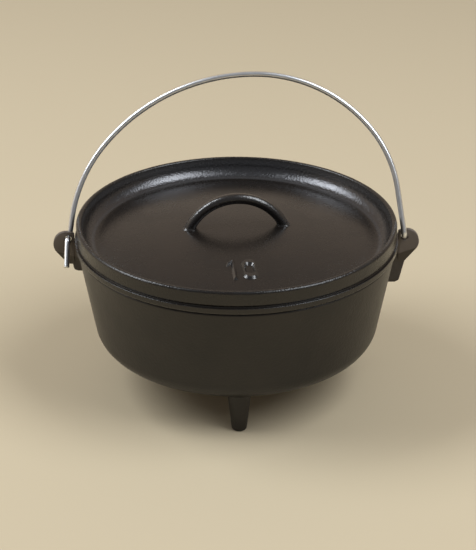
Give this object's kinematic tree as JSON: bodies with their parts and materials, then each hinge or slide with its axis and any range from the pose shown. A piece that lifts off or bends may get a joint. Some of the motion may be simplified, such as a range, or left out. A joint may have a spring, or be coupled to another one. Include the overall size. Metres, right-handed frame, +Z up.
{
  "type": "camp dutch oven",
  "caption": "Cast-iron camp oven: a round kettle on legs, a flanged lid with a coal rim and loop handle, and a wire bail hooked through cast ears.",
  "frame": {"origin": "on the ground under the middle of the kettle, midway between the ears", "axes": "+Z up; +X to the right ear as the size number reads; +Y away from the viewer, to the back, where the bail leans"},
  "size_m": [0.3216, 0.286, 0.2714],
  "materials": {
    "seasoned_iron": "seasoned black-brown, satin, fine sand-cast grain",
    "bail_wire": "zinc-plated round wire, satin"
  },
  "bodies": {
    "oven": {"kettle": "seasoned_iron", "front_leg": "seasoned_iron", "left_leg": "seasoned_iron", "right_leg": "seasoned_iron", "left_ear": "seasoned_iron", "right_ear": "seasoned_iron"},
    "lid": {"lid": "seasoned_iron", "lid_handle": "seasoned_iron", "lid_number": "seasoned_iron"},
    "bail": {"bail": "bail_wire", "left_hook": "bail_wire", "right_hook": "bail_wire"}
  },
  "joints": [
    {"name": "bail_swing", "type": "hinge", "parent": "oven", "child": "bail", "pos_m": [0, 0, 0.134], "axis": [1, 0, 0], "range_deg": [0, 40]},
    {"name": "lid_lift", "type": "slide", "parent": "oven", "child": "lid", "axis": [0, -0.8192, 0.5736], "range_m": [0, 0.26]}
  ]
}
